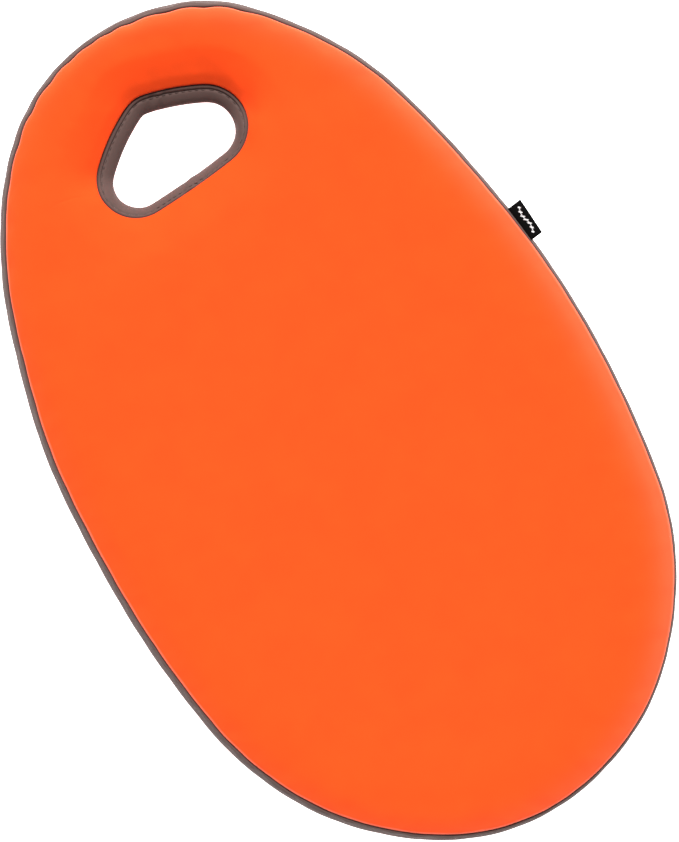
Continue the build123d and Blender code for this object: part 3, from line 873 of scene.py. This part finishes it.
# ---- the label
def label_section():
    """The folded tape's centre line, from one sewn end out to the fold and back to the other."""
    flat = np.array([LABEL_WAY[0], LABEL_WAY[1], 0])
    flat = flat / np.linalg.norm(flat)
    sewn = -(flat + np.array([0, 0, 1])) / sqrt(2)
    square = np.cross(HINGE_AXIS, LABEL_WAY)
    square = square * np.sign(square[2])
    start = HINGE - LABEL_WAY * 0.8
    half = LABEL_THICKNESS / 2 - LABEL_TAPE / 2
    lower, upper = [], []
    for t in np.linspace(1, 0, 5):
        lower.append(start + sewn * LABEL_TAIL * t - square * half * 0.7)
        upper.append(start + sewn * LABEL_TAIL * t + square * half * 0.7)
    for t in np.linspace(0, 1, 10)[1:]:
        puff = half * (0.7 + 1.3 * t**2)
        reach = LABEL_WAY * (0.8 + (LABEL_LENGTH - 1.2) * t)
        droop = -square * 0.9 * t**2
        lower.append(start + reach + droop - square * puff)
        upper.append(start + reach + droop + square * puff)
    tip = (lower[-1] + upper[-1]) / 2
    radius = np.linalg.norm(upper[-1] - tip)
    turn = [tip - square * radius * cos(a) + LABEL_WAY * radius * 1.1 * sin(a)
            for a in np.linspace(0, pi, 9)[1:-1]]
    return np.array(lower + turn + upper[::-1])


def label_mesh():
    section = label_section()
    far = np.concatenate([[0], np.cumsum(np.linalg.norm(np.diff(section, axis=0), axis=1))])
    columns = np.linspace(-LABEL_WIDTH / 2, LABEL_WIDTH / 2, 21)
    points, faces, uvs = [], [], []
    for r, place in enumerate(section):
        out = smooth_step(LABEL_TAIL, LABEL_TAIL + LABEL_LENGTH, min(far[r], far[-1] - far[r]))
        for c in columns:
            wave = 0.35 * out * sin(c / 3.4 + 0.6)
            askew = LABEL_SKEW * c * np.array([LABEL_WAY[0], LABEL_WAY[1], 0])
            points.append(place + HINGE_AXIS * c + askew + np.array([0, 0, wave]))
    across = len(columns)
    for r in range(len(section) - 1):
        for c in range(across - 1):
            a = r * across + c
            faces.append((a, a + 1, a + across + 1, a + across))
            uvs += [(columns[c], far[r]), (columns[c + 1], far[r]),
                    (columns[c + 1], far[r + 1]), (columns[c], far[r + 1])]
    obj = mesh_object("label", points, faces, uvs)
    for face in obj.data.polygons:
        face.use_smooth = True
    thicken(obj, LABEL_TAPE, 0)
    return obj, far[-1]


def label_paint(run):
    """Black woven tape with a plain white sprig on the side that faces up."""
    paint = Paint("label_tape", (0.004, 0.004, 0.004), 0.8)
    paint.shader.inputs["Specular IOR Level"].default_value = 0.05
    math = paint.math
    u, v = paint.cloth_coordinates()
    rise = math("SUBTRACT", v, run - LABEL_TAIL - LABEL_LENGTH / 2 - 0.6)
    bend = math("MULTIPLY", math("SINE", math("MULTIPLY", u, 0.55)), 0.55)
    off = math("ABSOLUTE", math("SUBTRACT", rise, bend))
    stem = math("LESS_THAN", off, 0.2)
    place = math("SUBTRACT", math("MODULO", math("ADD", u, 30.0), 2.4), 1.2)
    lean = math("SUBTRACT", math("SUBTRACT", rise, bend), math("MULTIPLY", place, 0.9))
    leaf = math("ADD", math("POWER", math("DIVIDE", place, 0.95), 2.0),
                math("POWER", math("DIVIDE", lean, 0.5), 2.0))
    leaves = math("LESS_THAN", leaf, 1.0)
    drawn = math("MAXIMUM", stem, leaves)
    inside_width = math("LESS_THAN", math("ABSOLUTE", u), 7.6)
    drawn = math("MULTIPLY", drawn, inside_width)
    paint.colour(paint.tint(drawn, (0.004, 0.004, 0.004), (0.8, 0.8, 0.8), 0.4, 0.6))
    ribs = math("SINE", math("MULTIPLY", v, 2 * pi / 0.28))
    wefts = math("SINE", math("MULTIPLY", u, 2 * pi / 0.34))
    paint.bump(math("ADD", ribs, math("MULTIPLY", wefts, 0.5)), 0.25, 0.00005)
    return paint.material


# ---- stitches round the hand hole
def smooth_object(name, points, faces):
    """A new closed object that is shaded smooth."""
    obj = mesh_object(name, points, faces)
    for face in obj.data.polygons:
        face.use_smooth = True
    turn_outward(obj)
    return obj


def stitch_row(name, side, tree):
    """Short threads on the band beside the hole's seam, each lying on the cloth."""
    start = nearest_along(HOLE, HOLE_JOIN_PLAN)
    count = int(HOLE.length // STITCH_PITCH)
    last = STITCH_POINTS - 1
    points, faces = [], []
    for index in range(count):
        along = start + (index + np.linspace(*STITCH_SHARE, STITCH_POINTS)) * HOLE.length / count
        plan, out = HOLE.at(along)
        height = side * (hole_seams(None, out)[0] - STITCH_FROM_SEAM)
        back, up, _, _ = rounded(height, *HOLE_SECTION)
        where = pinched(np.column_stack([plan + back[:, None] * out, MIDDLE + up]))
        line = []
        for k, spot in enumerate(where):
            found, normal, _, _ = tree.find_nearest(Vector(spot * MM))
            sink = STITCH_DIVE * (abs(2 * k / last - 1) ** 3)
            line.append(np.array(found) / MM + np.array(normal) * (THREAD_RADIUS * 0.7 - sink))
        line = np.array(line)
        first = len(points)
        for k, spot in enumerate(line):
            ahead = line[min(k + 1, last)] - line[max(k - 1, 0)]
            ahead = ahead / np.linalg.norm(ahead)
            one = np.cross(ahead, [0.3, 0.2, 1.0])  # any way that no stitch runs along
            one = one / np.linalg.norm(one)
            two = np.cross(ahead, one)
            for a in np.arange(TUBE_SIDES) * 2 * pi / TUBE_SIDES:
                points.append(spot + THREAD_RADIUS * (one * cos(a) + two * sin(a)))
        for k in range(last):
            row, following = first + TUBE_SIDES * k, first + TUBE_SIDES * (k + 1)
            for a in range(TUBE_SIDES):
                b = (a + 1) % TUBE_SIDES
                faces.append((row + a, row + b, following + b, following + a))
        faces.append(tuple(first + a for a in reversed(range(TUBE_SIDES))))
        faces.append(tuple(first + TUBE_SIDES * last + a for a in range(TUBE_SIDES)))
    return smooth_object(name, points, faces)


# ---- the layers inside
def slab(name, levels):
    """A closed layer of foam or glue through levels of (height, inset, growth of the hole)."""
    shell = Shell()
    blank = np.zeros(0)
    rings = []
    for height, inset, grow in levels:
        row = []
        for outline, reach, count in ((EGG, -inset, SLAB_STATIONS), (HOLE, grow, HOLE_STATIONS)):
            _, plan, out = stations_from(outline, 0.0, count)
            plan = plan + reach * out
            points = np.column_stack([plan, np.full(count, height)])
            row.append((shell.add_points(points, points, blank) + np.arange(count), plan))
        rings.append(row)
    for low, high in zip(rings, rings[1:]):
        for (a, _), (b, _) in zip(low, high):
            for j in range(len(a)):
                k = (j + 1) % len(a)
                shell.add_face((a[j], a[k], b[k], b[j]), [(0, 0)] * 4, 0)
    for (height, _, _), (edge, hole) in ((levels[0], rings[0]), (levels[-1], rings[-1])):
        grid, triangles = fill_between(edge[1], hole[1])
        points = np.column_stack([grid, np.full(len(grid), height)])
        first = shell.add_points(points, points, blank)
        index = np.concatenate([edge[0], hole[0], first + np.arange(len(grid))])
        for t in triangles:
            shell.add_face(index[t], [(0, 0)] * 3, 0)
    obj = mesh_object(name, pinched(np.concatenate(shell.points)), shell.faces)
    turn_outward(obj)
    return obj


def thread_loop(name, runs):
    """Threads round the hand hole, each at a growth of the hole and a height."""
    points, faces = [], []
    for grow, height in runs:
        _, plan, out = stations_from(HOLE, 0.0, HOLE_STATIONS)
        line = pinched(np.column_stack([plan + grow * out, np.full(HOLE_STATIONS, height)]))
        first = len(points)
        for spot, way in zip(line, out):
            for a in np.arange(TUBE_SIDES) * 2 * pi / TUBE_SIDES:
                around = np.array([way[0] * cos(a), way[1] * cos(a), sin(a)])
                points.append(spot + THREAD_RADIUS * around)
        for j in range(HOLE_STATIONS):
            row, following = first + TUBE_SIDES * j, first + TUBE_SIDES * ((j + 1) % HOLE_STATIONS)
            for a in range(TUBE_SIDES):
                b = (a + 1) % TUBE_SIDES
                faces.append((row + a, following + a, following + b, row + b))
    return smooth_object(name, points, faces)


# ---- build
fine = shape_cover()
cover = {
    "top_panel": cut_piece(fine, "top_panel_cloth", TOP, PANEL_ROLL),
    "bottom_panel": cut_piece(fine, "bottom_panel_cloth", BOTTOM, PANEL_ROLL),
    "edge_band": cut_piece(fine, "edge_band_cloth", EDGE, BAND_ROLL),
    "handle_band": cut_piece(fine, "handle_band_cloth", HANDLE, BAND_ROLL),
}
# each cloth: its body colour, a painted sheen colour (a lighter copy for the taupe) and a painted shade
# colour for inside the folds
orange = cloth_paint("orange_cloth", ORANGE, ORANGE_PAINTED_SHEEN, ORANGE_PAINTED_SHADE, 0.9, 0.2, (1.0, 0.62, 0.6), CREASE)
taupe = cloth_paint("band_cloth", TAUPE, shaded(TAUPE, 1.15), TAUPE_PAINTED_SHADE, 0.85, 0.12, (0.9, 0.85, 0.85))
for node, obj in cover.items():
    obj.data.materials.clear()
    obj.data.materials.append(orange if node.endswith("panel") else taupe)
    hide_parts(node)
    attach(obj, "pad")

seam_red = thread_paint("seam_thread", SEAM_THREAD)
stitch_brown = thread_paint("topstitch_thread", TOPSTITCH)
tree = BVHTree.FromObject(cover["handle_band"], bpy.context.evaluated_depsgraph_get())
for side, end in ((1, "upper"), (-1, "lower")):
    stitches = stitch_row(f"{end}_handle_stitches", side, tree)
    stitches.data.materials.append(stitch_brown)
    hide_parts(f"{end}_handle_topstitch")
    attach(stitches, "pad")

label, label_run = label_mesh()
label.data.materials.append(label_paint(label_run))
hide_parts("label_tail", "label_flap")
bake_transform(label)

memory = foam_paint("memory_foam", (0.52, 0.5, 0.42), (0.72, 0.7, 0.62), 0.7)
core = foam_paint("eva_foam", (0.03, 0.03, 0.032), (0.07, 0.07, 0.075), 0.4)
glue = Paint("glue", (0.6, 0.42, 0.16), 0.25)
glue.bump(glue.object_noise(300.0), 0.3, FINE)
glue.colour(glue.tint(glue.object_noise(120.0), (0.5, 0.34, 0.12), (0.64, 0.46, 0.2)))
LAYERS = {
    "upper_memory_foam": (memory, "memory_foam", ((29.8, 7.2, 11.2), (37.8, 15.2, 19.2))),
    "upper_glue_film": (glue.material, "glue", ((29.6, 7.0, 11.0), (29.8, 7.2, 11.2))),
    "eva_core": (core, "eva_foam", (
        (10.4, 7.0, 11.0), (15.2, 2.2, 6.2), (19.0, 2.2, 2.4),
        (21.0, 2.2, 2.4), (24.8, 2.2, 6.2), (29.6, 7.0, 11.0))),
    "lower_glue_film": (glue.material, "glue", ((10.2, 7.2, 11.2), (10.4, 7.0, 11.0))),
    "lower_memory_foam": (memory, "memory_foam", ((2.2, 15.2, 19.2), (10.2, 7.2, 11.2))),
}
for node, (material, name, levels) in LAYERS.items():
    layer = slab(f"{node}_layer", levels)
    layer.data.materials.append(material)
    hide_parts(node)
    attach(layer, "pad")

for end, flip in (("upper", 1), ("lower", -1)):
    runs = [(grow, MIDDLE + flip * (MIDDLE - depth)) for grow, depth in HOLE_SEAM_THREADS]
    threads = thread_loop(f"{end}_handle_seam_threads", runs)
    threads.data.materials.append(seam_red)
    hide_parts(f"{end}_handle_seam_thread")
    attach(threads, "pad")

for seam in ("upper_edge_seam", "lower_edge_seam", "edge_band_join", "handle_band_join"):
    node = bpy.data.objects[f"{seam}_thread"]
    node.data.materials.clear()
    node.data.materials.append(seam_red)

# ---- floor, light and camera
floor_corners = [
    (x * FLOOR_HALF, y * FLOOR_HALF, -FLOOR_DROP) for x, y in ((-1, -1), (1, -1), (1, 1), (-1, 1))
]
floor = mesh_object("floor", floor_corners, [(0, 1, 2, 3)])
white = Paint("floor", (0.86, 0.86, 0.86), 0.9)
white.shader.inputs["Emission Color"].default_value = (1, 1, 1, 1)
white.shader.inputs["Emission Strength"].default_value = FLOOR_GLOW
floor.data.materials.append(white.material)

world = bpy.data.worlds.new("studio")
bpy.context.scene.world = world
world.use_nodes = True
world.node_tree.nodes["Background"].inputs["Color"].default_value = (1, 1, 1, 1)
world.node_tree.nodes["Background"].inputs["Strength"].default_value = AMBIENT

key_data = bpy.data.lights.new("key", "SUN")
key_data.energy = KEY
key_data.angle = KEY_WIDTH
key = placed("key", key_data)
toward = Vector((KEY_PLAN[0] * cos(KEY_ELEVATION), KEY_PLAN[1] * cos(KEY_ELEVATION), sin(KEY_ELEVATION)))
key.rotation_euler = toward.to_track_quat("Z", "Y").to_euler()

lens = bpy.data.cameras.new("camera")
lens.sensor_fit = "VERTICAL"
lens.sensor_height = SENSOR
lens.lens = CAMERA_LENS
lens.dof.use_dof = False
camera = placed("camera", lens)
camera.location = CAMERA
camera.rotation_euler = (0, 0, CAMERA_TURN)
bpy.context.scene.camera = camera
bpy.context.scene.view_settings.view_transform = "Standard"
